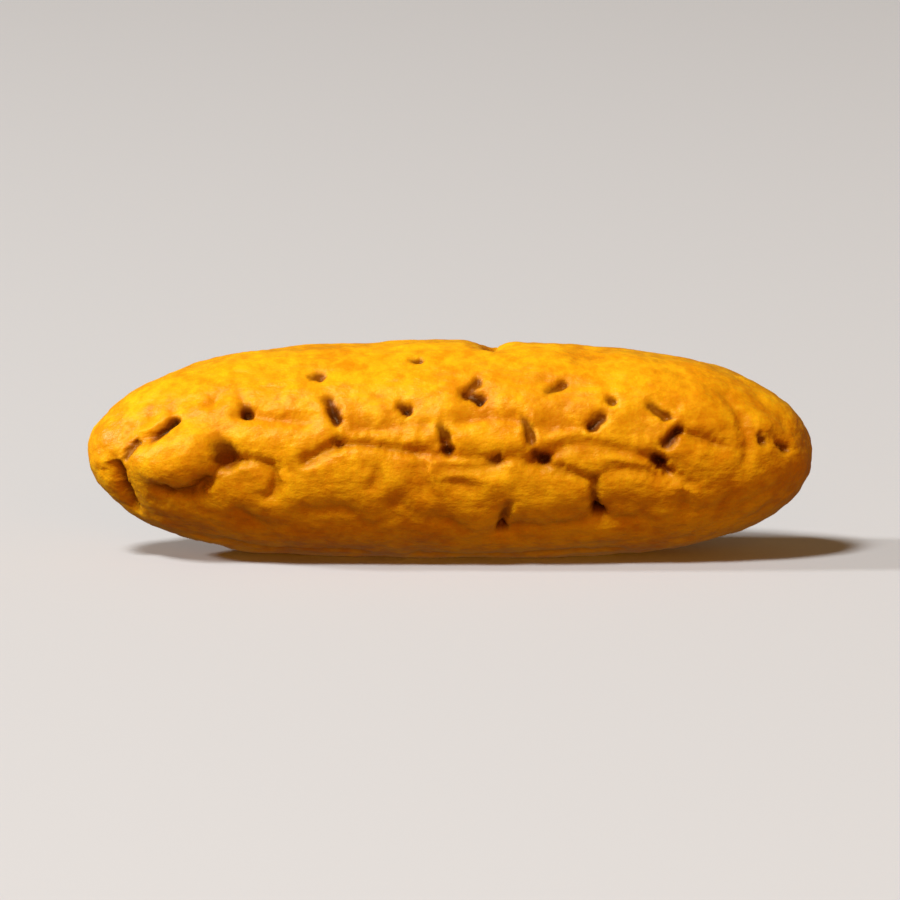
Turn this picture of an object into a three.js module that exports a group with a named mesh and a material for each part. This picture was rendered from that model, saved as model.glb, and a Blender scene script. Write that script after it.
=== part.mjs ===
// A dried turmeric finger: one branch of a turmeric rhizome, boiled, dried and polished whole.
// It grew as one piece, so it is one solid. Its skin has shrunk into soft pads with folds between
// them, cracks across them, and small pits where roots and scale leaves came away.
//
// Millimetres. +X runs along the finger to its narrower end, +Z is up, and -Y is the face with the
// round bud. The origin lies under the middle of the finger, on the surface that it rests on.

import * as THREE from "three";
import { mergeVertices } from "three/addons/utils/BufferGeometryUtils.js";

// Driving dimensions
const LENGTH = 29.85;
const HEIGHT = 9.15;
const DEPTH = 9.55;
const BLUNT_END_FULLNESS = 2.8; // 2 is an ellipse, and more is fuller
const NARROW_END_FULLNESS = 3;
const SIDEWAYS_BEND = 0.6; // the middle of the finger lies this far behind its ends
const REST_DEPTH = 0.2; // how much of the round underside is worn flat

// Slow swells of the plain finger. Each adds up to its share of the radius, in waves round the finger,
// which are its lobes, and along it, by its pace in radians a millimetre.
const SWELLS = [
  { share: 0.008, lobes: 0, pace: 0.62, phase: 0.9 },
  { share: 0.018, lobes: 2, pace: -0.16, phase: Math.PI / 2 },
  { share: 0.014, lobes: 3, pace: 0.2, phase: Math.PI },
];

// How finely the skin is divided, and how its facets close up along each mark: from how far away, and
// by what share of the way
const RINGS = 80;
const FACETS_ROUND = 74;
const GATHER_REACH = 0.5;
const GATHER_SHARE = 0.62;
const SAME_POINT = 1e-4;

// A place on the skin is [along, around]: millimetres from the middle, and degrees round the
// finger from the face at 0, over the top at 90, to the back at 180 and the underside at -90.
// The face looks up a little, by this many degrees.
const FACE_TILT = 8;

// How each kind of mark is pressed into the skin. The core is the sharp cut, and the shoulder is the
// soft slope on either side of it, which leaves the skin between the marks standing as pads. Each is
// given by its reach from the middle of the mark and its depth there. A roundness of 1 makes a sharp
// crease, and 2 a round bottom.
const KINDS = {
  cleft: { core: 0.5, coreDepth: 0.45, shoulder: 1.2, shoulderDepth: 0.3, roundness: 1.3 },
  fold: { core: 0.45, coreDepth: 0.22, shoulder: 1.1, shoulderDepth: 0.12, roundness: 1.3 },
  crack: { core: 0.34, coreDepth: 0.3, shoulder: 0.9, shoulderDepth: 0.12, roundness: 1.4 },
  furrow: { core: 0.5, coreDepth: 0.12, shoulder: 1.3, shoulderDepth: 0.1, roundness: 1.4 },
  pit: { core: 0.42, coreDepth: 0.42, shoulder: 0.8, shoulderDepth: 0.06, roundness: 1.6 },
  nick: { core: 0.34, coreDepth: 0.26, shoulder: 0.7, shoulderDepth: 0.06, roundness: 1.6 },
  dimple: { core: 0.75, coreDepth: 0.45, shoulder: 1.2, shoulderDepth: 0.1, roundness: 1.7 },
  scar: { core: 1.3, coreDepth: 0.24, shoulder: 2, shoulderDepth: 0.08, roundness: 2.4 },
};
const STEP = 0.08; // spacing of the points that stand for a mark
const FADE = [-0.24, 0.8]; // a long mark deepens between these distances from its end
const SHALLOW_END = 0.5; // the share of a short mark's depth where its path starts
const DIVISIONS = 6; // pieces between two places of a path, for measuring its length

// The marks on the face, each a path of places on the skin
const FACE_MARKS = {
  cleft: [
    // the gap between the bud and the blunt end, and the one under the bud
    [[-13.75, -8], [-13.65, -20], [-13.5, -36], [-13.25, -54], [-12.9, -74]],
    [[-12.2, -25], [-11.7, -28], [-11.1, -28], [-10.5, -25], [-10.1, -19], [-9.9, -13]],
    // the notch in the top of the finger
    [[1.8, 66], [1.6, 84], [1.9, 106]],
  ],
  fold: [
    // the long fold between the upper pads and the plates below
    [[-6.2, -8], [-5.9, -5], [-5.5, -2], [-5.0, 1], [-4.4, 4], [-3.5, 4], [-2.5, 2], [-1.5, 0], [-0.8, -1]],
    [[8.1, -3], [8.4, -4], [8.7, -9], [9.2, -14]],
    // the upper edge of a plate under it
    [[2.9, -6], [3.6, -7], [4.3, -9], [5.0, -12], [5.7, -16], [6.0, -21]],
    // the lip that rises beside the bud and curls round
    [[-10.1, -24], [-9.8, -17], [-9.3, -9], [-8.6, -5], [-7.9, -5], [-7.3, -8], [-7.1, -15], [-7.2, -22],
      [-7.7, -28]],
    // the upper edge of the last plate before the narrow end
    [[9.2, 13], [9.8, 11], [10.4, 9], [11.0, 5], [11.6, 3]],
  ],
  crack: [
    [[2.4, -28], [2.2, -36], [2.1, -46]],
    [[5.95, -14], [5.9, -25], [6.1, -38]],
    [[8.4, -3], [8.6, -8], [8.9, -12]],
  ],
  furrow: [
    // round the bud, and over the blunt end
    [[-12.9, 4], [-12.4, 9], [-11.8, 14], [-11.2, 21]],
    [[-13.3, 32], [-13.1, 20], [-13.4, 8]],
    [[-11.0, 44], [-11.3, 34], [-11.5, 28]],
    [[-12.4, 24], [-12.2, 33], [-12.1, 42]],
    [[-10.1, 29], [-9.6, 35], [-9.3, 43]],
    // the long fold where it runs out shallow
    [[-1.3, 0], [-0.5, -1], [0.6, -3], [1.8, -4], [2.8, -4], [3.9, -4]],
    [[3.7, -3], [4.3, 0], [4.9, 4], [5.7, 4], [6.5, 2], [7.2, 0], [7.8, -2], [8.5, -4]],
    // between the pits of the upper face
    [[-9.0, 24], [-7.8, 21], [-6.6, 18], [-5.2, 17]],
    [[-8.7, 42], [-8.5, 34], [-8.4, 28]],
    [[-3.7, 49], [-3.3, 46]],
    [[-4.4, 15], [-3.0, 13], [-1.6, 15], [-0.6, 13]],
    [[0.1, 15], [1.0, 18], [2.2, 18], [3.0, 15]],
    [[3.4, 12], [4.4, 14], [5.6, 13]],
    // on the plates of the lower face
    [[-1.2, -3], [-1.1, -12], [-1.2, -25]],
    [[6.1, -12], [6.8, -10], [7.6, -11], [8.4, -14], [9.3, -17], [10.2, -24]],
    [[-0.6, -8], [0.3, -9], [1.4, -9], [2.4, -8]],
    [[-0.4, -15], [0.4, -17], [1.4, -20]],
    [[-3.6, -6], [-3.0, -10], [-3.0, -16], [-3.6, -20]],
    [[-3.0, -35], [-2.5, -30], [-2.0, -28], [-1.5, -32]],
    [[-6.2, -30], [-5.4, -33], [-4.5, -31], [-3.8, -35]],
    [[2.4, -45], [4.2, -43], [6.2, -42], [8.4, -43]],
    [[-8.9, -33], [-8.4, -40], [-7.5, -48]],
    [[-1.0, -36], [0.0, -39], [0.9, -46]],
    [[9.3, -24], [9.6, -34], [9.3, -44]],
    // across the narrow end
    [[11.0, 46], [11.5, 36], [11.9, 26], [12.1, 14], [12.2, 3], [12.0, -12]],
    [[13.0, 20], [13.5, 11], [14.0, 1]],
  ],
  pit: [
    [[-12.0, 11], [-11.7, 16], [-11.3, 22]],
    [[-8.4, 28], [-8.3, 25]],
    [[-4.9, 29], [-4.8, 24], [-4.6, 18]],
    [[-2.0, 25], [-1.8, 23]],
    [[0.6, 32], [0.9, 31], [1.2, 28]],
    [[-0.2, 5], [-0.1, 1]],
    [[3.5, -2], [3.9, -4]],
    [[6.2, 19], [5.8, 14]],
    [[8.8, 5], [9.0, 8], [9.3, 13]],
    [[8.4, -4], [8.6, -7]],
    [[5.95, -33], [6.1, -37]],
  ],
  nick: [
    [[-13.2, -4], [-13.0, 2], [-12.8, 8]],
    [[-5.6, 47], [-5.3, 47]],
    [[-1.5, 56], [-1.3, 56]],
    [[0.7, 33], [1.1, 39]],
    [[-0.4, 13], [-0.2, 7]],
    [[3.0, 16], [3.2, 11], [3.3, 6]],
    [[1.7, -5], [1.9, -4]],
    [[4.0, 33], [4.2, 35], [4.6, 38]],
    [[6.5, 29], [6.6, 28]],
    [[8.2, 26], [8.5, 23], [8.8, 21]],
    [[12.7, 13], [12.8, 10]],
    [[13.6, 9], [13.8, 5]],
    [[-4.6, 6], [-4.5, 5]],
    [[2.1, -42], [2.1, -45]],
  ],
  dimple: [
    // the hollow beside the bud
    [[-9.3, 3], [-9.15, 0], [-9.1, -3]],
  ],
};

// The bud beside the blunt end
const BUD_ROUNDNESS = 3;
const BUD = { along: -11.3, around: -7, reach: new THREE.Vector3(1.8, 1.4, 1.4), height: 0.72 };

// The rings round the narrow end, where scale leaves sat, the scar on the back of the blunt end, and
// the creases beside the strip that the finger rests on
const OTHER_MARKS = {
  furrow: [
    [[11.7, 106], [11.8, 150], [11.5, 190], [11.8, 230]],
    [[13.6, 112], [13.4, 145], [13.6, 190], [13.5, 240], [13.7, 262]],
    [[-12.5, 95], [-12.1, 130], [-11.9, 165], [-12.2, 200], [-12.8, 235]],
    [[-9.6, -70], [-7.4, -74], [-5.0, -71], [-3.2, -75]],
    [[-1.8, -72], [1.2, -75], [4.2, -71], [7.4, -74]],
    [[-10.2, -84], [-9.7, -100], [-10.4, -118]],
    [[9.8, -86], [10.2, -100], [9.9, -116]],
    [[-6.4, -122], [-3.0, -126], [0.6, -122], [4.6, -126], [7.8, -122]],
  ],
  scar: [
    [[-13.9, 125], [-13.6, 160], [-13.9, 195]],
  ],
};

// The rows of plates on the top and back, which are laid out by rule. Each range below is drawn from
// afresh for every plate. The edge of a plate is an arch from joint to joint, and the seam runs from a
// joint over the plate's height to the next row.
const PLATE_ROWS = [
  { around: 103, height: 30, from: -10.5, to: 9.5 },
  { around: 137, height: 32, from: -11, to: 10 },
  { around: 172, height: 34, from: -10.5, to: 10.5 },
  { around: 209, height: 28, from: -10.5, to: 10 },
];
const PLATE_LENGTH = [2.2, 4.6];
const JOINT_STRAY = [-7, 7]; // degrees away from the row
const ARCH_RISE = [3.2, 11.2]; // degrees above the joints
const ARCH_SHOULDERS = [0.25, 0.7]; // where the arch has risen and where it drops, as shares of it
const SHOULDER_STEP = [-3, 2]; // degrees from the first shoulder up to the second
const EDGE_BREAKS = 0.5; // the share of joints where the edge stops and starts anew
const EDGE_GAP = [0.4, 1.2];
const EDGE_STEP = [-4, 4]; // degrees between the old edge and the new one
const SHARP_EDGES = 0.6; // the share of edges that are folds and not furrows
const SEAM_REACH = [0.4, 0.95]; // as a share of the row's height
const SEAM_SWAY = [-0.3, 0.3];
const SEAM_LEAN = [-1.2, 1.2];
const SEAM_KINDS = ["crack", "crack", "furrow", "none"];
const PIT_ASIDE = [-1.4, 1.4];
const PIT_RISE = [0.2, 0.9]; // as a share of the row's height
const PIT_LEAN = [-0.3, 0.3];
const PIT_LENGTH = [2, 6]; // degrees
const PIT_KINDS = ["pit", "nick", "nick", "none"];
const SEED = 11;

function radiusAt(along) {
  const share = Math.min(1, Math.abs(along) / (LENGTH / 2));
  const fullness = along < 0 ? BLUNT_END_FULLNESS : NARROW_END_FULLNESS;
  return (HEIGHT / 2) * Math.sqrt(1 - share ** fullness);
}

// A place on the plain finger, as it was before it shrank: nearly round, and a little deeper than high
function plainPoint(along, around) {
  const turn = THREE.MathUtils.degToRad(around + FACE_TILT);
  const bend = SIDEWAYS_BEND * (1 - (along / (LENGTH / 2)) ** 2);
  let swell = 1;
  for (const { share, lobes, pace, phase } of SWELLS)
    swell += share * Math.sin(lobes * turn + pace * along + phase);
  const radius = radiusAt(along) * swell;
  return new THREE.Vector3(
    along,
    bend - radius * (DEPTH / HEIGHT) * Math.cos(turn),
    radius * Math.sin(turn),
  );
}

// Seeded draws, so that every build lays out the same plates
let drawState = SEED;
function draw(low, high) {
  drawState = (Math.imul(drawState, 1664525) + 1013904223) >>> 0;
  return low + (high - low) * (drawState / 2 ** 32);
}

// The marks of one row of plates. Those of the kind "none" are never pressed in.
function plateRow({ around, height, from, to }) {
  const marks = { fold: [], crack: [], furrow: [], pit: [], nick: [], none: [] };
  let edge = [[from, around]];
  let along = from;
  while (along < to) {
    const length = draw(...PLATE_LENGTH);
    const joint = along + length;
    const foot = around + draw(...JOINT_STRAY);
    const crest = (edge.at(-1)[1] + foot) / 2 + draw(...ARCH_RISE);
    const [first, second] = ARCH_SHOULDERS.map((share) => along + share * length);
    edge.push([first, crest], [second, crest + draw(...SHOULDER_STEP)], [joint, foot]);
    if (draw(0, 1) < EDGE_BREAKS || joint >= to) {
      marks[draw(0, 1) < SHARP_EDGES ? "fold" : "furrow"].push(edge);
      edge = [[joint + draw(...EDGE_GAP), foot + draw(...EDGE_STEP)]];
    }
    const lean = draw(...SEAM_LEAN);
    const reach = draw(...SEAM_REACH) * height;
    const halfway = [joint + draw(...SEAM_SWAY), foot + reach / 2];
    const seamKind = SEAM_KINDS[Math.floor(draw(0, SEAM_KINDS.length))];
    marks[seamKind].push([[joint, foot], halfway, [joint + lean, foot + reach]]);
    const pit = [joint + draw(...PIT_ASIDE), foot + draw(...PIT_RISE) * height];
    const pitEnd = [pit[0] + draw(...PIT_LEAN), pit[1] + draw(...PIT_LENGTH)];
    const pitKind = PIT_KINDS[Math.floor(draw(0, PIT_KINDS.length))];
    marks[pitKind].push([pit, pitEnd]);
    along = joint;
  }
  return marks;
}

// A mark as points on the plain skin, each with the share of the mark's depth that is left there
function pressed(kind, path) {
  const route = new THREE.SplineCurve(path.map(([along, around]) => new THREE.Vector2(along, around)));
  const rough = route.getPoints(DIVISIONS * path.length).map(({ x, y }) => plainPoint(x, y));
  const length = rough.slice(1).reduce((sum, at, i) => sum + at.distanceTo(rough[i]), 0);
  const count = Math.max(1, Math.round(length / STEP));
  const fades = ["cleft", "fold", "furrow"].includes(kind);
  return route.getPoints(count).map(({ x, y }, i) => {
    const toEnd = (Math.min(i, count - i) / count) * length;
    const deepened = SHALLOW_END + ((1 - SHALLOW_END) * i) / count;
    const share = fades ? THREE.MathUtils.smoothstep(toEnd, ...FADE) : deepened;
    return { at: plainPoint(x, y), share };
  });
}

const layouts = [FACE_MARKS, OTHER_MARKS, ...PLATE_ROWS.map(plateRow)];
const marks = Object.entries(KINDS).map(([kind, widths]) => {
  const paths = layouts.flatMap((layout) => layout[kind] ?? []);
  return { ...widths, points: paths.flatMap((path) => pressed(kind, path)) };
});

// How far the skin at a point of the plain finger stands out, or is pressed in
function reliefAt(point) {
  const fromBud = point.clone().sub(budCentre).divide(BUD.reach).length();
  let height = BUD.height * Math.exp(-(fromBud ** BUD_ROUNDNESS));
  for (const { core, coreDepth, shoulder, shoulderDepth, roundness, points } of marks) {
    const fall = (away, reach) => (1 - Math.min(1, away / reach) ** roundness) ** 2;
    let deepest = 0;
    for (const { at, share } of points) {
      const away = at.distanceTo(point);
      if (away > shoulder) continue;
      const cut = coreDepth * fall(away, core) + shoulderDepth * fall(away, shoulder);
      deepest = Math.max(deepest, share * cut);
    }
    height -= deepest;
  }
  return height;
}
const budCentre = plainPoint(BUD.along, BUD.around);

// Draws a point of the plain skin in towards the nearest mark
function gather(point) {
  let least = (2 * GATHER_REACH) ** 2;
  let nearest = point;
  for (const { points } of marks)
    for (const { at } of points) {
      const away = at.distanceToSquared(point);
      if (away < least) [least, nearest] = [away, at];
    }
  point.lerp(nearest, GATHER_SHARE * Math.exp(-least / GATHER_REACH ** 2));
}

// The finger's outline from end to end, as a radius against a place along it
class Outline extends THREE.Curve {
  getPoint(share, target = new THREE.Vector2()) {
    const along = (-LENGTH / 2) * Math.cos(Math.PI * share);
    return target.set(radiusAt(along), along);
  }
}

// The finger is turned from its outline, bent and swollen, and then its skin is pressed in
function fingerGeometry() {
  const turned = new THREE.LatheGeometry(new Outline().getSpacedPoints(RINGS), FACETS_ROUND);
  turned.deleteAttribute("normal");
  turned.deleteAttribute("uv");
  const finger = mergeVertices(turned, SAME_POINT);
  const skin = finger.getAttribute("position");
  const point = new THREE.Vector3();
  for (let i = 0; i < skin.count; i++) {
    point.fromBufferAttribute(skin, i);
    const around = THREE.MathUtils.radToDeg(Math.atan2(point.z, point.x)) - FACE_TILT;
    point.copy(plainPoint(point.y, around));
    gather(point);
    skin.setXYZ(i, point.x, point.y, point.z);
  }
  finger.setIndex(facetsAlongMarks(finger.index.array, skin));
  finger.computeVertexNormals();
  const outward = finger.getAttribute("normal").clone();
  const normal = new THREE.Vector3();
  for (let i = 0; i < skin.count; i++) {
    point.fromBufferAttribute(skin, i);
    normal.fromBufferAttribute(outward, i);
    point.addScaledVector(normal, reliefAt(point));
    skin.setXYZ(i, point.x, point.y, point.z);
  }
  restFlat(finger);
  finger.computeVertexNormals();
  return finger;
}

// Cuts each four-sided facet along the diagonal whose ends are pressed in most like its middle
function facetsAlongMarks(corners, skin) {
  const at = (i) => new THREE.Vector3().fromBufferAttribute(skin, i);
  const relief = Array.from({ length: skin.count }, (_, i) => reliefAt(at(i)));
  const facets = [];
  for (let i = 0; i < corners.length; i += 6) {
    const [a, b, d, c] = corners.slice(i, i + 4);
    const middle = reliefAt(at(a).add(at(b)).add(at(c)).add(at(d)).divideScalar(4));
    const acrossAC = Math.abs((relief[a] + relief[c]) / 2 - middle);
    const acrossBD = Math.abs((relief[b] + relief[d]) / 2 - middle);
    const halves = acrossAC < acrossBD ? [[a, b, c], [a, c, d]] : [[a, b, d], [c, d, b]];
    for (const half of halves) if (new Set(half).size === 3) facets.push(...half);
  }
  return facets;
}

// Sets the finger on the surface, with the lowest part of its underside worn flat
function restFlat(finger) {
  finger.computeBoundingBox();
  const { min, max } = finger.boundingBox;
  const skin = finger.getAttribute("position");
  const floor = min.z + REST_DEPTH;
  for (let i = 0; i < skin.count; i++)
    skin.setXYZ(
      i,
      skin.getX(i) - (min.x + max.x) / 2,
      skin.getY(i) - (min.y + max.y) / 2,
      Math.max(0, skin.getZ(i) - floor),
    );
}

const finger = new THREE.Mesh(
  fingerGeometry(),
  new THREE.MeshStandardMaterial({ color: "#e3930f", roughness: 0.55, metalness: 0 }),
);
finger.name = "turmeric_finger";

const turmeric = new THREE.Group();
turmeric.add(finger);
export default turmeric;
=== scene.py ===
# A dried turmeric finger: one branch of a turmeric rhizome, boiled, dried and polished whole.
# The piece made here, in place of the imported solid, has the same form and the same marks, on a
# much finer mesh, with the skin's wrinkles and colours.

import math

import bpy
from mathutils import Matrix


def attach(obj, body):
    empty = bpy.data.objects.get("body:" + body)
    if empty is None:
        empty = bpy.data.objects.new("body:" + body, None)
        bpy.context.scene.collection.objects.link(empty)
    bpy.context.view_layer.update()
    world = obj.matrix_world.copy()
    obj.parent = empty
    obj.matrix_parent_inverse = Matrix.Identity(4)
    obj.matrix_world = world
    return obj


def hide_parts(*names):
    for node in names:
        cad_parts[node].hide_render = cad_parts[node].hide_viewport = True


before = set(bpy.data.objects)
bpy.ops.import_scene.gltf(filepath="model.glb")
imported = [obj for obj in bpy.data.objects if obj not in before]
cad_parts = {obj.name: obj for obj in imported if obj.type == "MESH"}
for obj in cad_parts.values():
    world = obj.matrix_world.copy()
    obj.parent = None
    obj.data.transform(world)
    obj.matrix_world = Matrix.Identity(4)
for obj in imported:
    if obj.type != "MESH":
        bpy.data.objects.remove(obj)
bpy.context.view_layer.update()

# The plain finger
# A rhizome branch that dried to a plump, nearly round finger, blunt at the end where it grew from the
# rhizome and narrower at its tip. The skin is laid out here before it shrank, one vertex at each
# crossing of its rings and its lengthwise lines, in millimetres, and is turned to metres in the mesh.
MM = 0.001
LENGTH = 29.85
HEIGHT = 9.15
DEPTH = 9.55
BLUNT_END_FULLNESS = 2.8
NARROW_END_FULLNESS = 3
SIDEWAYS_BEND = 0.6
# The middle of the photographed face looks up by as many degrees as the camera looks down
FACE_TILT = 8
# Slow swells: share of the radius, lobes round the finger, radians a millimetre along it, and phase
SWELLS = [(0.008, 0, 0.62, 0.9), (0.018, 2, -0.16, math.pi / 2), (0.014, 3, 0.2, math.pi)]
RINGS = 400
LINES = 248
# The outline is measured in this many steps for each ring
OUTLINE_STEPS = 40


def radius_at(along):
    """The radius of the plain finger at a place along it, from its two end curves."""
    share = min(1, abs(along) / (LENGTH / 2))
    fullness = BLUNT_END_FULLNESS if along < 0 else NARROW_END_FULLNESS
    return HEIGHT / 2 * math.sqrt(1 - share**fullness)


def plain_point(along, around):
    """A place on the plain skin: millimetres from the middle, and degrees from the face over the top."""
    turn = math.radians(around + FACE_TILT)
    bend = SIDEWAYS_BEND * (1 - (along / (LENGTH / 2)) ** 2)
    swells = [share * math.sin(lobes * turn + pace * along + phase) for share, lobes, pace, phase in SWELLS]
    radius = radius_at(along) * (1 + sum(swells))
    return (
        MM * along,
        MM * (bend - radius * DEPTH / HEIGHT * math.cos(turn)),
        MM * radius * math.sin(turn),
    )


def even_places(count):
    """Places along the finger that are evenly spaced on its outline, not on its axis."""
    steps = OUTLINE_STEPS * count
    outline = [-LENGTH / 2 * math.cos(math.pi * i / steps) for i in range(steps + 1)]
    travelled = [0.0]
    for before, after in zip(outline, outline[1:]):
        rise = radius_at(after) - radius_at(before)
        travelled.append(travelled[-1] + math.hypot(after - before, rise))
    places, i = [], 0
    for ring in range(1, count):
        while travelled[i] < travelled[-1] * ring / count:
            i += 1
        places.append(outline[i])
    return places


skin_places = even_places(RINGS)
skin_points = [plain_point(-LENGTH / 2, 0), plain_point(LENGTH / 2, 0)]
for along in skin_places:
    skin_points += [plain_point(along, 360 * line / LINES) for line in range(LINES)]
skin_faces = []
for line in range(LINES):
    beside = (line + 1) % LINES
    for ring in range(len(skin_places) - 1):
        here = 2 + ring * LINES
        skin_faces.append((here + line, here + LINES + line, here + LINES + beside, here + beside))
    last = 2 + (len(skin_places) - 1) * LINES
    skin_faces.append((0, 2 + line, 2 + beside))
    skin_faces.append((1, last + beside, last + line))
skin = bpy.data.meshes.new("plain_skin")
skin.from_pydata(skin_points, [], skin_faces)
skin.validate()
plain_skin = bpy.data.objects.new("plain_skin", skin)
bpy.context.scene.collection.objects.link(plain_skin)

# The marks in the skin
# As the finger dried, its skin shrank into pads with folds between them and cracks across them, and
# roots and scale leaves left pits. Each mark is a path of places along and around the finger, in
# millimetres from its middle and in degrees from its face over its top.

# Width and depth of each kind's sharp core, those of its soft shoulder, and how round its bottom is
KINDS = {
    "cleft": (0.5, 0.45, 1.2, 0.3, 1.3),
    "fold": (0.45, 0.22, 1.1, 0.12, 1.3),
    "crack": (0.34, 0.3, 0.9, 0.12, 1.4),
    "furrow": (0.5, 0.12, 1.3, 0.1, 1.4),
    "pit": (0.42, 0.42, 0.8, 0.06, 1.6),
    "nick": (0.34, 0.26, 0.7, 0.06, 1.6),
    "dimple": (0.75, 0.45, 1.2, 0.1, 1.7),
    "scar": (1.3, 0.24, 2, 0.08, 2.4),
}
# A path is measured in this many steps for each of its places, and then drawn in these even steps
ROUGH_STEPS = 6
MARK_STEP = 0.05
# Long marks run out at both ends, between these distances from an end, of which one lies past it
FADING_KINDS = ("cleft", "fold", "furrow")
MARK_FADE = (-0.24, 0.8)
# The others start at this share of their depth and deepen along their path
SHALLOW_END = 0.5
FACE_MARKS = {
    "cleft": [
        # the gap between the bud and the blunt end, and the one under the bud
        [(-13.75, -8), (-13.65, -20), (-13.5, -36), (-13.25, -54), (-12.9, -74)],
        [(-12.2, -25), (-11.7, -28), (-11.1, -28), (-10.5, -25), (-10.1, -19), (-9.9, -13)],
        # the notch in the top of the finger
        [(1.8, 66), (1.6, 84), (1.9, 106)],
    ],
    "fold": [
        # the long fold between the upper pads and the plates below
        [(-6.2, -8), (-5.9, -5), (-5.5, -2), (-5.0, 1), (-4.4, 4), (-3.5, 4), (-2.5, 2), (-1.5, 0),
            (-0.8, -1)],
        [(8.1, -3), (8.4, -4), (8.7, -9), (9.2, -14)],
        # the upper edge of a plate under it
        [(2.9, -6), (3.6, -7), (4.3, -9), (5.0, -12), (5.7, -16), (6.0, -21)],
        # the lip that rises beside the bud and curls round
        [(-10.1, -24), (-9.8, -17), (-9.3, -9), (-8.6, -5), (-7.9, -5), (-7.3, -8), (-7.1, -15), (-7.2, -22),
            (-7.7, -28)],
        # the upper edge of the last plate before the narrow end
        [(9.2, 13), (9.8, 11), (10.4, 9), (11.0, 5), (11.6, 3)],
    ],
    "crack": [
        [(2.4, -28), (2.2, -36), (2.1, -46)],
        [(5.95, -14), (5.9, -25), (6.1, -38)],
        [(8.4, -3), (8.6, -8), (8.9, -12)],
    ],
    "furrow": [
        # round the bud, and over the blunt end
        [(-12.9, 4), (-12.4, 9), (-11.8, 14), (-11.2, 21)],
        [(-13.3, 32), (-13.1, 20), (-13.4, 8)],
        [(-11.0, 44), (-11.3, 34), (-11.5, 28)],
        [(-12.4, 24), (-12.2, 33), (-12.1, 42)],
        [(-10.1, 29), (-9.6, 35), (-9.3, 43)],
        # the long fold where it runs out shallow
        [(-1.3, 0), (-0.5, -1), (0.6, -3), (1.8, -4), (2.8, -4), (3.9, -4)],
        [(3.7, -3), (4.3, 0), (4.9, 4), (5.7, 4), (6.5, 2), (7.2, 0), (7.8, -2), (8.5, -4)],
        # between the pits of the upper face
        [(-9.0, 24), (-7.8, 21), (-6.6, 18), (-5.2, 17)],
        [(-8.7, 42), (-8.5, 34), (-8.4, 28)],
        [(-3.7, 49), (-3.3, 46)],
        [(-4.4, 15), (-3.0, 13), (-1.6, 15), (-0.6, 13)],
        [(0.1, 15), (1.0, 18), (2.2, 18), (3.0, 15)],
        [(3.4, 12), (4.4, 14), (5.6, 13)],
        # on the plates of the lower face
        [(-1.2, -3), (-1.1, -12), (-1.2, -25)],
        [(6.1, -12), (6.8, -10), (7.6, -11), (8.4, -14), (9.3, -17), (10.2, -24)],
        [(-0.6, -8), (0.3, -9), (1.4, -9), (2.4, -8)],
        [(-0.4, -15), (0.4, -17), (1.4, -20)],
        [(-3.6, -6), (-3.0, -10), (-3.0, -16), (-3.6, -20)],
        [(-3.0, -35), (-2.5, -30), (-2.0, -28), (-1.5, -32)],
        [(-6.2, -30), (-5.4, -33), (-4.5, -31), (-3.8, -35)],
        [(2.4, -45), (4.2, -43), (6.2, -42), (8.4, -43)],
        [(-8.9, -33), (-8.4, -40), (-7.5, -48)],
        [(-1.0, -36), (0.0, -39), (0.9, -46)],
        [(9.3, -24), (9.6, -34), (9.3, -44)],
        # across the narrow end
        [(11.0, 46), (11.5, 36), (11.9, 26), (12.1, 14), (12.2, 3), (12.0, -12)],
        [(13.0, 20), (13.5, 11), (14.0, 1)],
    ],
    "pit": [
        [(-12.0, 11), (-11.7, 16), (-11.3, 22)],
        [(-8.4, 28), (-8.3, 25)],
        [(-4.9, 29), (-4.8, 24), (-4.6, 18)],
        [(-2.0, 25), (-1.8, 23)],
        [(0.6, 32), (0.9, 31), (1.2, 28)],
        [(-0.2, 5), (-0.1, 1)],
        [(3.5, -2), (3.9, -4)],
        [(6.2, 19), (5.8, 14)],
        [(8.8, 5), (9.0, 8), (9.3, 13)],
        [(8.4, -4), (8.6, -7)],
        [(5.95, -33), (6.1, -37)],
    ],
    "nick": [
        [(-13.2, -4), (-13.0, 2), (-12.8, 8)],
        [(-5.6, 47), (-5.3, 47)],
        [(-1.5, 56), (-1.3, 56)],
        [(0.7, 33), (1.1, 39)],
        [(-0.4, 13), (-0.2, 7)],
        [(3.0, 16), (3.2, 11), (3.3, 6)],
        [(1.7, -5), (1.9, -4)],
        [(4.0, 33), (4.2, 35), (4.6, 38)],
        [(6.5, 29), (6.6, 28)],
        [(8.2, 26), (8.5, 23), (8.8, 21)],
        [(12.7, 13), (12.8, 10)],
        [(13.6, 9), (13.8, 5)],
        [(-4.6, 6), (-4.5, 5)],
        [(2.1, -42), (2.1, -45)],
    ],
    "dimple": [
        # the hollow beside the bud
        [(-9.3, 3), (-9.15, 0), (-9.1, -3)],
    ],
}
OTHER_MARKS = {
    "furrow": [
        [(11.7, 106), (11.8, 150), (11.5, 190), (11.8, 230)],
        [(13.6, 112), (13.4, 145), (13.6, 190), (13.5, 240), (13.7, 262)],
        [(-12.5, 95), (-12.1, 130), (-11.9, 165), (-12.2, 200), (-12.8, 235)],
        [(-9.6, -70), (-7.4, -74), (-5.0, -71), (-3.2, -75)],
        [(-1.8, -72), (1.2, -75), (4.2, -71), (7.4, -74)],
        [(-10.2, -84), (-9.7, -100), (-10.4, -118)],
        [(9.8, -86), (10.2, -100), (9.9, -116)],
        [(-6.4, -122), (-3.0, -126), (0.6, -122), (4.6, -126), (7.8, -122)],
    ],
    "scar": [
        [(-13.9, 125), (-13.6, 160), (-13.9, 195)],
    ],
}
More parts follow.
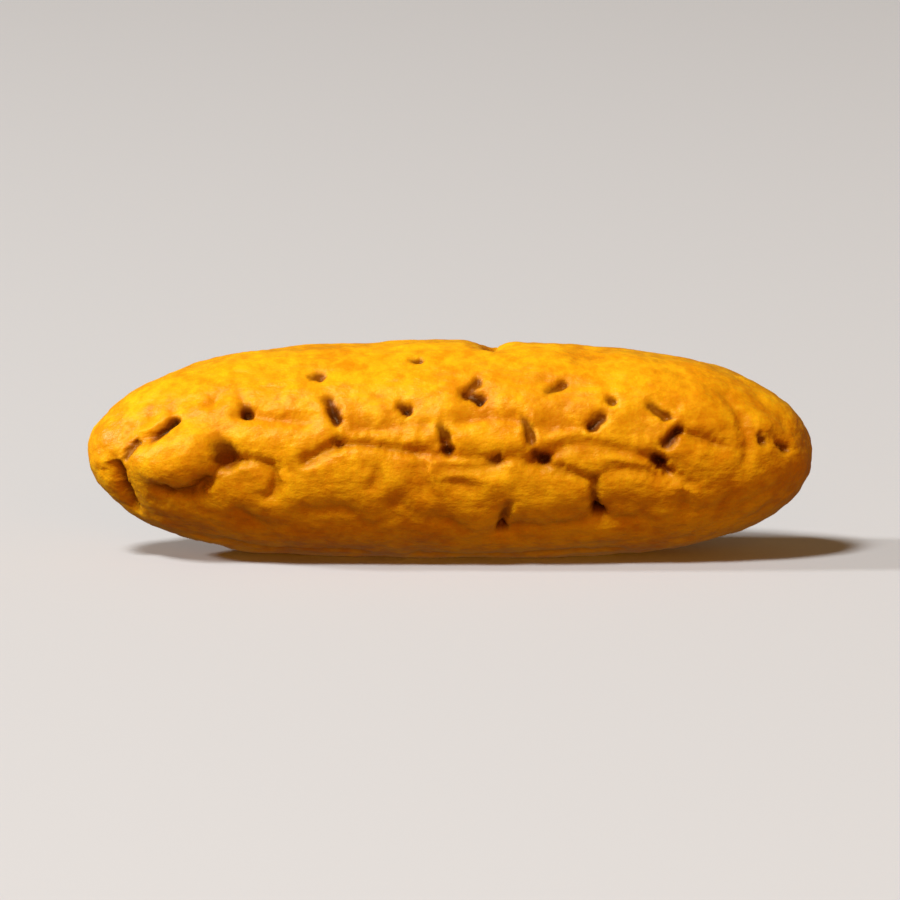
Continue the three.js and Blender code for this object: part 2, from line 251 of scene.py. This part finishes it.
# The rows of plates on the top and back, by the same rule and draws as the solid's: degrees around
# the finger of a row's foot, its height in degrees, and where it starts and ends along the finger
PLATE_ROWS = [
    (103, 30, -10.5, 9.5),
    (137, 32, -11, 10),
    (172, 34, -10.5, 10.5),
    (209, 28, -10.5, 10),
]
PLATE_LENGTH = (2.2, 4.6)
JOINT_STRAY = (-7, 7)
ARCH_RISE = (3.2, 11.2)
ARCH_SHOULDERS = (0.25, 0.7)
SHOULDER_STEP = (-3, 2)
EDGE_BREAKS = 0.5
EDGE_GAP = (0.4, 1.2)
EDGE_STEP = (-4, 4)
SHARP_EDGES = 0.6
SEAM_REACH = (0.4, 0.95)
SEAM_SWAY = (-0.3, 0.3)
SEAM_LEAN = (-1.2, 1.2)
SEAM_KINDS = ("crack", "crack", "furrow", "none")
PIT_ASIDE = (-1.4, 1.4)
PIT_RISE = (0.2, 0.9)
PIT_LEAN = (-0.3, 0.3)
PIT_LENGTH = (2, 6)
PIT_KINDS = ("pit", "nick", "nick", "none")
SEED = 11
DRAW_FACTOR = 1664525
DRAW_STEP = 1013904223
DRAW_RANGE = 2**32


class Draws:
    """The same seeded draws as the solid's, so that the plates lie where the solid has them."""

    state = SEED

    def __call__(self, low, high):
        self.state = (self.state * DRAW_FACTOR + DRAW_STEP) % DRAW_RANGE
        return low + (high - low) * self.state / DRAW_RANGE


draw = Draws()


def plate_row(around, height, start, end):
    """The marks of one row of plates. Those of the kind "none" are never pressed in."""
    marks = {"fold": [], "crack": [], "furrow": [], "pit": [], "nick": [], "none": []}
    edge = [(start, around)]
    along = start
    while along < end:
        length = draw(*PLATE_LENGTH)
        joint = along + length
        foot = around + draw(*JOINT_STRAY)
        crest = (edge[-1][1] + foot) / 2 + draw(*ARCH_RISE)
        first, second = (along + share * length for share in ARCH_SHOULDERS)
        edge += [(first, crest), (second, crest + draw(*SHOULDER_STEP)), (joint, foot)]
        if draw(0, 1) < EDGE_BREAKS or joint >= end:
            marks["fold" if draw(0, 1) < SHARP_EDGES else "furrow"].append(edge)
            edge = [(joint + draw(*EDGE_GAP), foot + draw(*EDGE_STEP))]
        lean = draw(*SEAM_LEAN)
        reach = draw(*SEAM_REACH) * height
        halfway = (joint + draw(*SEAM_SWAY), foot + reach / 2)
        seam_kind = SEAM_KINDS[int(draw(0, len(SEAM_KINDS)))]
        marks[seam_kind].append([(joint, foot), halfway, (joint + lean, foot + reach)])
        pit = (joint + draw(*PIT_ASIDE), foot + draw(*PIT_RISE) * height)
        pit_end = (pit[0] + draw(*PIT_LEAN), pit[1] + draw(*PIT_LENGTH))
        pit_kind = PIT_KINDS[int(draw(0, len(PIT_KINDS)))]
        marks[pit_kind].append([pit, pit_end])
        along = joint
    return marks


def route_place(path, share):
    """A place on the smooth route through a path's places, at a share of its way."""
    at = share * (len(path) - 1)
    i = min(int(at), len(path) - 2)
    part = at - i
    before, here = path[max(i - 1, 0)], path[i]
    there, after = path[i + 1], path[min(i + 2, len(path) - 1)]
    place = []
    for behind, start, end, ahead in zip(before, here, there, after):
        leaving, arriving = (end - behind) / 2, (ahead - start) / 2
        place.append(
            (2 * start - 2 * end + leaving + arriving) * part**3
            + (-3 * start + 3 * end - 2 * leaving - arriving) * part**2
            + leaving * part
            + start
        )
    return place


def marks_object(kind, paths):
    """The marks of one kind as a wire on the plain skin, with the share of the depth left at each point."""
    points, joins, shares = [], [], []
    for path in paths:
        steps = ROUGH_STEPS * len(path)
        rough = [plain_point(*route_place(path, i / steps)) for i in range(steps + 1)]
        length = sum(math.dist(a, b) for a, b in zip(rough, rough[1:])) / MM
        count = max(1, round(length / MARK_STEP))
        joins += [(len(points) + i, len(points) + i + 1) for i in range(count)]
        for i in range(count + 1):
            points.append(plain_point(*route_place(path, i / count)))
            to_end = min(i, count - i) / count * length
            risen = min(1, (to_end - MARK_FADE[0]) / (MARK_FADE[1] - MARK_FADE[0]))
            faded = risen * risen * (3 - 2 * risen)
            deepened = SHALLOW_END + (1 - SHALLOW_END) * i / count
            shares.append(faded if kind in FADING_KINDS else deepened)
    wire = bpy.data.meshes.new(kind + "_marks")
    wire.from_pydata(points, joins, [])
    wire.attributes.new("share", "FLOAT", "POINT").data.foreach_set("value", shares)
    marks = bpy.data.objects.new(kind + "_marks", wire)
    bpy.context.scene.collection.objects.link(marks)
    return marks


layouts = [FACE_MARKS, OTHER_MARKS] + [plate_row(*row) for row in PLATE_ROWS]
marks_of = {kind: marks_object(kind, sum((layout.get(kind, []) for layout in layouts), [])) for kind in KINDS}

# Pressing the marks in
# Geometry Nodes press every kind of mark into the plain skin, raise the bud beside the blunt end,
# wrinkle the skin between them, and set the finger down on its worn flat.

# The bud: its place along and around, its reach each way, its height, and how flat its top is
BUD_PLACE = (-11.3, -7)
BUD_REACH = (1.8, 1.4, 1.4)
BUD_HEIGHT = 0.72
BUD_ROUNDNESS = 3
# How far the edges of the marks waver, and how often
WAVER = 0.5
WAVERS_PER_MM = 1.8
# The skin between the marks: slow lumps, puckers of about a millimetre, and fine creases over them.
# Puckers and creases are drawn out along the finger, and the edges of the puckers stray.
LUMP_HEIGHT = 0.1
LUMPS_PER_MM = 0.45
PUCKER_HEIGHT = 0.18
PUCKERS_PER_MM = 0.8
CREASE_HEIGHT = 0.11
CREASES_PER_MM = 1.5
DRAWN_OUT = (0.6, 1.0, 1.0)
STRAY = 1.1
STRAYS_PER_MM = 0.9
# The underside is worn off by this much, and nothing is left below the floor. The two limits
# sideways are far outside the finger.
REST_DEPTH = 0.2
LOWEST_PLACE = (-1.0, -1.0, 0.0)


def add(owner, kind, inputs=(), **settings):
    """Adds a node to its tree with its settings, and gives its inputs their values or links."""
    node = owner.nodes.new(kind)
    for name, value in settings.items():
        setattr(node, name, value)
    for key, value in dict(inputs).items():
        if isinstance(value, bpy.types.NodeSocket):
            owner.links.new(value, node.inputs[key])
        else:
            node.inputs[key].default_value = value
    return node


def socket(owner, name, kind, default=None, output=False):
    """Adds a named input or output to a tree, with its value."""
    made = owner.interface.new_socket(name, in_out="OUTPUT" if output else "INPUT", socket_type=kind)
    if default is not None:
        made.default_value = default
    return made


# One kind of mark: how deep it presses in each place of the skin, and the share of its core there,
# which the painted shade in the skin's colour follows
press = bpy.data.node_groups.new("press_in_marks", "GeometryNodeTree")
socket(press, "Marks", "NodeSocketGeometry")
for name in ("Core", "Core Depth", "Shoulder", "Shoulder Depth", "Roundness", "Waver"):
    socket(press, name, "NodeSocketFloat")
socket(press, "Depth", "NodeSocketFloat", output=True)
socket(press, "Core Share", "NodeSocketFloat", output=True)
given = add(press, "NodeGroupInput").outputs
away = add(press, "GeometryNodeProximity", {0: given["Marks"]}, target_element="EDGES").outputs["Distance"]
waver = add(
    press, "ShaderNodeTexNoise", {"Scale": WAVERS_PER_MM / MM, "Detail": 4.0, "Roughness": 0.7}
).outputs[0]
waver = add(press, "ShaderNodeMath", {0: waver, 1: 0.5}, operation="SUBTRACT").outputs[0]
away = add(
    press, "ShaderNodeMath", {0: waver, 1: given["Waver"], 2: away}, operation="MULTIPLY_ADD"
).outputs[0]
nearest = add(press, "GeometryNodeSampleNearest", {0: given["Marks"]}, domain="POINT").outputs[0]
share = add(press, "GeometryNodeInputNamedAttribute", {"Name": "share"}, data_type="FLOAT").outputs[0]
left = add(
    press, "GeometryNodeSampleIndex", {0: given["Marks"], 1: share, "Index": nearest}, data_type="FLOAT"
).outputs[0]
shares, depths = [], []
for width, depth in (("Core", "Core Depth"), ("Shoulder", "Shoulder Depth")):
    out = add(press, "ShaderNodeMath", {0: away, 1: given[width]}, operation="DIVIDE", use_clamp=True)
    bent = add(press, "ShaderNodeMath", {0: out.outputs[0], 1: given["Roundness"]}, operation="POWER")
    fall = add(press, "ShaderNodeMath", {0: 1.0, 1: bent.outputs[0]}, operation="SUBTRACT")
    soft = add(press, "ShaderNodeMath", {0: fall.outputs[0], 1: 2.0}, operation="POWER")
    held = add(press, "ShaderNodeMath", {0: soft.outputs[0], 1: left}, operation="MULTIPLY")
    deep = add(press, "ShaderNodeMath", {0: held.outputs[0], 1: given[depth]}, operation="MULTIPLY")
    shares.append(held.outputs[0])
    depths.append(deep.outputs[0])
total = add(press, "ShaderNodeMath", {0: depths[0], 1: depths[1]}, operation="ADD")
add(press, "NodeGroupOutput", {"Depth": total.outputs[0], "Core Share": shares[0]})

# The whole skin: all the kinds of mark, the bud and the wrinkles, and then the worn flat
tree = bpy.data.node_groups.new("turmeric_skin_relief", "GeometryNodeTree")
socket(tree, "Geometry", "NodeSocketGeometry")
inputs = {}
for kind, widths in KINDS.items():
    inputs[kind] = socket(tree, kind.title() + " Marks", "NodeSocketObject")
    for name, size in zip(("Core", "Core Depth", "Shoulder", "Shoulder Depth"), widths):
        socket(tree, f"{kind.title()} {name}", "NodeSocketFloat", size * MM)
    socket(tree, kind.title() + " Roundness", "NodeSocketFloat", widths[4])
socket(tree, "Waver", "NodeSocketFloat", WAVER * MM)
socket(tree, "Bud Centre", "NodeSocketVector", plain_point(*BUD_PLACE))
socket(tree, "Bud Reach", "NodeSocketVector", [MM * reach for reach in BUD_REACH])
socket(tree, "Bud Height", "NodeSocketFloat", BUD_HEIGHT * MM)
socket(tree, "Bud Roundness", "NodeSocketFloat", BUD_ROUNDNESS)
socket(tree, "Lump Height", "NodeSocketFloat", LUMP_HEIGHT * MM)
socket(tree, "Pucker Height", "NodeSocketFloat", PUCKER_HEIGHT * MM)
socket(tree, "Crease Height", "NodeSocketFloat", CREASE_HEIGHT * MM)
socket(tree, "Rest Depth", "NodeSocketFloat", REST_DEPTH * MM)
inputs["skin"] = socket(tree, "Skin", "NodeSocketMaterial")
socket(tree, "Geometry", "NodeSocketGeometry", output=True)
given = add(tree, "NodeGroupInput").outputs

relief = 0.0
cuts = {}
for kind in KINDS:
    title = kind.title()
    marks = add(tree, "GeometryNodeObjectInfo", {"Object": given[title + " Marks"]})
    group = add(tree, "GeometryNodeGroup", node_tree=press)
    tree.links.new(marks.outputs["Geometry"], group.inputs["Marks"])
    for name in ("Core", "Core Depth", "Shoulder", "Shoulder Depth", "Roundness"):
        tree.links.new(given[f"{title} {name}"], group.inputs[name])
    tree.links.new(given["Waver"], group.inputs["Waver"])
    cuts[kind] = group.outputs["Core Share"]
    deeper = add(tree, "ShaderNodeMath", {0: relief, 1: group.outputs["Depth"]}, operation="SUBTRACT")
    relief = deeper.outputs[0]

# the bud, which falls off with the distance from its centre
position = add(tree, "GeometryNodeInputPosition").outputs[0]
apart = add(tree, "ShaderNodeVectorMath", {0: position, 1: given["Bud Centre"]}, operation="SUBTRACT")
apart = add(tree, "ShaderNodeVectorMath", {0: apart.outputs[0], 1: given["Bud Reach"]}, operation="DIVIDE")
apart = add(tree, "ShaderNodeVectorMath", {0: apart.outputs[0]}, operation="LENGTH")
apart = add(tree, "ShaderNodeMath", {0: apart.outputs["Value"], 1: given["Bud Roundness"]}, operation="POWER")
apart = add(tree, "ShaderNodeMath", {0: apart.outputs[0], 1: -1.0}, operation="MULTIPLY")
bulge = add(tree, "ShaderNodeMath", {0: apart.outputs[0]}, operation="EXPONENT")
relief = add(
    tree, "ShaderNodeMath", {0: bulge.outputs[0], 1: given["Bud Height"], 2: relief}, operation="MULTIPLY_ADD"
).outputs[0]

# the wrinkles between the marks
lumps = add(
    tree,
    "ShaderNodeTexNoise",
    {"Vector": position, "Scale": LUMPS_PER_MM / MM, "Detail": 2.0, "Roughness": 0.5},
).outputs[0]
lumps = add(tree, "ShaderNodeMath", {0: lumps, 1: 0.5}, operation="SUBTRACT").outputs[0]
relief = add(
    tree, "ShaderNodeMath", {0: lumps, 1: given["Lump Height"], 2: relief}, operation="MULTIPLY_ADD"
).outputs[0]
drawn_out = add(tree, "ShaderNodeVectorMath", {0: position, 1: DRAWN_OUT}, operation="MULTIPLY").outputs[0]
strayed = add(
    tree, "ShaderNodeTexNoise", {"Vector": position, "Scale": STRAYS_PER_MM / MM, "Detail": 2.0}
).outputs["Color"]
strayed = add(tree, "ShaderNodeVectorMath", {0: strayed, "Scale": STRAY * MM}, operation="SCALE").outputs[0]
strayed = add(tree, "ShaderNodeVectorMath", {0: drawn_out, 1: strayed}, operation="ADD").outputs[0]
pucker = add(
    tree,
    "ShaderNodeTexVoronoi",
    {"Vector": strayed, "Scale": PUCKERS_PER_MM / MM, "Smoothness": 0.6},
    feature="SMOOTH_F1",
).outputs["Distance"]
pucker = add(tree, "ShaderNodeMath", {0: pucker, 1: 2.0}, operation="POWER").outputs[0]
creased = add(
    tree,
    "ShaderNodeTexNoise",
    {
        "Vector": drawn_out,
        "Scale": CREASES_PER_MM / MM,
        "Detail": 3.0,
        "Roughness": 0.55,
        "Distortion": 0.6,
    },
).outputs[0]
creased = add(tree, "ShaderNodeMath", {0: creased, 1: 0.5}, operation="SUBTRACT").outputs[0]
for fine, height in ((pucker, "Pucker Height"), (creased, "Crease Height")):
    down = add(tree, "ShaderNodeMath", {0: fine, 1: given[height]}, operation="MULTIPLY").outputs[0]
    relief = add(tree, "ShaderNodeMath", {0: relief, 1: down}, operation="SUBTRACT").outputs[0]

# attributes for the painted shade in the skin's colour, and the skin moved in and out along its normals
marked = given["Geometry"]
for kind, cut in cuts.items():
    marked = add(
        tree, "GeometryNodeStoreNamedAttribute", {0: marked, "Name": kind, "Value": cut}, data_type="FLOAT"
    ).outputs[0]
for name, value in (("relief", relief), ("pucker", pucker), ("crease", creased)):
    marked = add(
        tree, "GeometryNodeStoreNamedAttribute", {0: marked, "Name": name, "Value": value}, data_type="FLOAT"
    ).outputs[0]
height = add(tree, "GeometryNodeInputNamedAttribute", {"Name": "relief"}, data_type="FLOAT").outputs[0]
normal = add(tree, "GeometryNodeInputNormal").outputs[0]
offset = add(tree, "ShaderNodeVectorMath", {0: normal, "Scale": height}, operation="SCALE").outputs[0]
shaped = add(tree, "GeometryNodeSetPosition", {0: marked, "Offset": offset}).outputs[0]

# the finger centred over its resting place, with its underside flat on the floor
box = add(tree, "GeometryNodeBoundBox", {0: shaped}).outputs
middle = add(tree, "ShaderNodeVectorMath", {0: box["Min"], 1: box["Max"]}, operation="ADD").outputs[0]
middle = add(tree, "ShaderNodeVectorMath", {0: middle, "Scale": 0.5}, operation="SCALE").outputs[0]
middle = add(tree, "ShaderNodeSeparateXYZ", {0: middle}).outputs
lowest = add(tree, "ShaderNodeSeparateXYZ", {0: box["Min"]}).outputs["Z"]
floor_level = add(tree, "ShaderNodeMath", {0: lowest, 1: given["Rest Depth"]}, operation="ADD").outputs[0]
foot = add(tree, "ShaderNodeCombineXYZ", {"X": middle["X"], "Y": middle["Y"], "Z": floor_level}).outputs[0]
stood = add(tree, "ShaderNodeVectorMath", {0: position, 1: foot}, operation="SUBTRACT").outputs[0]
on_floor = add(tree, "ShaderNodeVectorMath", {0: stood, 1: LOWEST_PLACE}, operation="MAXIMUM").outputs[0]
rested = add(tree, "GeometryNodeSetPosition", {0: shaped, "Position": on_floor}).outputs[0]
smooth = add(tree, "GeometryNodeSetShadeSmooth", {0: rested}).outputs[0]
real = add(tree, "GeometryNodeRealizeInstances", {0: smooth}).outputs[0]
dressed = add(tree, "GeometryNodeSetMaterial", {0: real, "Material": given["Skin"]}).outputs[0]
add(tree, "NodeGroupOutput", {"Geometry": dressed})

# The skin
# Dried turmeric rhizome skin: boiled, sun-dried and tumbled until it is smooth and golden, with a
# satin face where it rubbed, and pits where roots came away. To the eye it is a saturated orange-gold
# with soft highlights and a fine dusty grain; its folds, cracks and pits are turned brown by painted shade.
DRIFTS_PER_MM = 0.25
BLOTCHES_PER_MM = 1.6
BLOTCH_SHARE = 0.6
RUBBED_PATCHES_PER_MM = 0.8
# The grain is fine wrinkles with dust in them, also drawn out along the finger
WRINKLES_PER_MM = 2.6
WRINKLES_DRAWN_OUT = (0.55, 1.0, 1.0)
WRINKLE_DEPTH = 0.1
# A Mix node's two inputs for numbers, and its two for colours
FIRST_NUMBER, SECOND_NUMBER = 2, 3
FIRST_COLOUR, SECOND_COLOUR = 6, 7


def colour(code):
    """An sRGB hex colour as linear values."""
    parts = [int(code[i : i + 2], 16) / 255 for i in (1, 3, 5)]
    return [part / 12.92 if part <= 0.04045 else ((part + 0.055) / 1.055) ** 2.4 for part in parts] + [1.0]


turmeric_skin = bpy.data.materials.new("dried_turmeric_rhizome_skin")
turmeric_skin.use_nodes = True
paint = turmeric_skin.node_tree
shader = paint.nodes["Principled BSDF"]
shader.inputs["IOR"].default_value = 1.45
shader.inputs["Specular IOR Level"].default_value = 0.3
shader.inputs["Specular Tint"].default_value = colour("#ffe0a8")
shader.inputs["Subsurface Weight"].default_value = 0.12
shader.inputs["Subsurface Radius"].default_value = (1.0, 0.35, 0.1)
shader.inputs["Subsurface Scale"].default_value = 0.5 * MM
at = add(paint, "ShaderNodeTexCoord").outputs["Object"]
# broad drifts of tone over a few millimetres, and blotches of about half a millimetre
drift = add(
    paint, "ShaderNodeTexNoise", {"Vector": at, "Scale": DRIFTS_PER_MM / MM, "Detail": 2.0}
).outputs[0]
blotch = add(
    paint,
    "ShaderNodeTexNoise",
    {"Vector": at, "Scale": BLOTCHES_PER_MM / MM, "Detail": 3.0, "Roughness": 0.6},
).outputs[0]
blend = add(
    paint, "ShaderNodeMix", {"Factor": BLOTCH_SHARE, FIRST_NUMBER: drift, SECOND_NUMBER: blotch}
).outputs[0]
tone = add(paint, "ShaderNodeValToRGB", {"Fac": blend})
tone.color_ramp.elements[0].position = 0.4
tone.color_ramp.elements[0].color = colour("#df9004")
tone.color_ramp.elements[1].position = 0.6
tone.color_ramp.elements[1].color = colour("#f7b40c")
tone_and_painted_shade = tone.outputs[0]
# painted shade: the small hollows between puckers and creases, and every mark pressed into the skin, are
# darkened towards brown, faint in furrows and darkest down the pits; only the broad scar on the blunt end
# has a duller brown of its own
for name, low, high, strength, dark in (
    ("pucker", 0.25, 0.75, 0.35, "#c87604"),
    ("crease", 0.08, 0.25, 0.4, "#bd6e04"),
    ("furrow", 0.0, 0.9, 0.3, "#b86206"),
    ("scar", 0.0, 0.6, 0.45, "#b3701a"),
    ("dimple", 0.05, 0.4, 0.9, "#7a3c04"),
    ("nick", 0.0, 0.45, 0.85, "#7c4005"),
    ("fold", 0.0, 0.9, 0.45, "#8f4c04"),
    ("cleft", 0.0, 0.6, 0.75, "#8a4804"),
    ("crack", 0.0, 0.7, 0.8, "#7c3a04"),
    ("pit", 0.0, 0.4, 0.9, "#8a4304"),
    ("pit", 0.25, 0.75, 0.9, "#3f1a02"),
):
    depth = add(paint, "ShaderNodeAttribute", attribute_name=name).outputs["Fac"]
    painted_shade = add(
        paint, "ShaderNodeMapRange", {"Value": depth, "From Min": low, "From Max": high, "To Max": strength}
    ).outputs[0]
    tone_and_painted_shade = add(
        paint,
        "ShaderNodeMix",
        {"Factor": painted_shade, FIRST_COLOUR: tone_and_painted_shade, SECOND_COLOUR: colour(dark)},
        data_type="RGBA",
    ).outputs["Result"]
paint.links.new(tone_and_painted_shade, shader.inputs["Base Color"])
# satin where it rubbed, and duller in patches
polish = add(
    paint, "ShaderNodeTexNoise", {"Vector": at, "Scale": RUBBED_PATCHES_PER_MM / MM, "Detail": 2.0}
).outputs[0]
polish = add(paint, "ShaderNodeMapRange", {"Value": polish, "To Min": 0.22, "To Max": 0.55}).outputs[0]
paint.links.new(polish, shader.inputs["Roughness"])
along_it = add(
    paint, "ShaderNodeVectorMath", {0: at, 1: WRINKLES_DRAWN_OUT}, operation="MULTIPLY"
).outputs[0]
wrinkles = add(
    paint,
    "ShaderNodeTexNoise",
    {"Vector": along_it, "Scale": WRINKLES_PER_MM / MM, "Detail": 5.0, "Roughness": 0.6},
).outputs[0]
bump = add(
    paint, "ShaderNodeBump", {"Strength": 0.8, "Distance": WRINKLE_DEPTH * MM, "Height": wrinkles}
).outputs[0]
paint.links.new(bump, shader.inputs["Normal"])

# The finished finger: the pressed skin as one plain mesh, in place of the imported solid
relief_step = plain_skin.modifiers.new("relief", "NODES")
relief_step.node_group = tree
for kind in KINDS:
    relief_step[inputs[kind].identifier] = marks_of[kind]
relief_step[inputs["skin"].identifier] = turmeric_skin
bpy.context.view_layer.update()
evaluated = plain_skin.evaluated_get(bpy.context.evaluated_depsgraph_get())
finger = bpy.data.objects.new("dried_turmeric_finger", bpy.data.meshes.new_from_object(evaluated))
finger.data.name = "dried_turmeric_finger"
bpy.context.scene.collection.objects.link(finger)
for spent in [plain_skin, *marks_of.values()]:
    bpy.data.objects.remove(spent)
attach(finger, "root")
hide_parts("turmeric_finger")

# The floor
# A sheet of pale matt paper, an even grey without shine, that the finger lies on. It takes the shadow,
# but throws no light on the finger and isn't mirrored in it, so that the underside keeps the warm
# shade that it has in the photograph. Its reach is in metres.
FLOOR_REACH = 1.5
floor = bpy.data.objects.new("floor", bpy.data.meshes.new("floor"))
floor.data.from_pydata(
    [(x * FLOOR_REACH, y * FLOOR_REACH, 0) for x, y in ((-1, -1), (1, -1), (1, 1), (-1, 1))],
    [],
    [(0, 1, 2, 3)],
)
pale_paper = bpy.data.materials.new("pale_paper")
pale_paper.use_nodes = True
pale_paper.node_tree.nodes["Principled BSDF"].inputs["Base Color"].default_value = colour("#c9cacb")
pale_paper.node_tree.nodes["Principled BSDF"].inputs["Roughness"].default_value = 0.9
floor.data.materials.append(pale_paper)
bpy.context.scene.collection.objects.link(floor)
floor.visible_diffuse = False
floor.visible_glossy = False

# Light and view
# Soft light from above and in front, a little to the left as in the photograph, with a small light
# beside the blunt end and a weak warm glow from low in front. The camera looks straight at the face
# that the photograph shows. Places and distances are in metres.
LOOK_AT = (0, 0, 4.3 * MM)
CAMERA_ELEVATION = FACE_TILT
CAMERA_DISTANCE = 0.4
FRAME_WIDTH = 37 * MM


def aimed(thing, place, target):
    """Puts a light or camera at a place, turned towards its target."""
    thing.location = place
    away = [here - there for here, there in zip(place, target)]
    lean = math.atan2(math.hypot(away[0], away[1]), away[2])
    thing.rotation_euler = (lean, 0, math.atan2(away[0], -away[1]))
    bpy.context.scene.collection.objects.link(thing)


for name, place, size, power, tint in (
    ("key_light", (-0.44, -0.52, 0.97), 0.25, 13.2, "#ffffff"),
    ("side_light", (-0.9, 0.0, 0.45), 0.1, 6.5, "#ffffff"),
    ("bounce_light", (0.1, -0.8, 0.12), 0.5, 2.6, "#ffb348"),
):
    lamp = bpy.data.lights.new(name, "AREA")
    lamp.size = size
    lamp.energy = power
    lamp.color = colour(tint)[:3]
    aimed(bpy.data.objects.new(name, lamp), place, LOOK_AT)

world = bpy.data.worlds.new("studio")
world.use_nodes = True
world.node_tree.nodes["Background"].inputs["Color"].default_value = colour("#ffd4a6")
world.node_tree.nodes["Background"].inputs["Strength"].default_value = 0.15
bpy.context.scene.world = world
bpy.context.scene.view_settings.view_transform = "Standard"

lens = bpy.data.cameras.new("camera")
lens.sensor_width = 36
lens.lens = lens.sensor_width * CAMERA_DISTANCE / FRAME_WIDTH
lens.clip_start = 0.01
camera = bpy.data.objects.new("camera", lens)
tilt = math.radians(CAMERA_ELEVATION)
aimed(
    camera,
    (0, -CAMERA_DISTANCE * math.cos(tilt), LOOK_AT[2] + CAMERA_DISTANCE * math.sin(tilt)),
    LOOK_AT,
)
bpy.context.scene.camera = camera
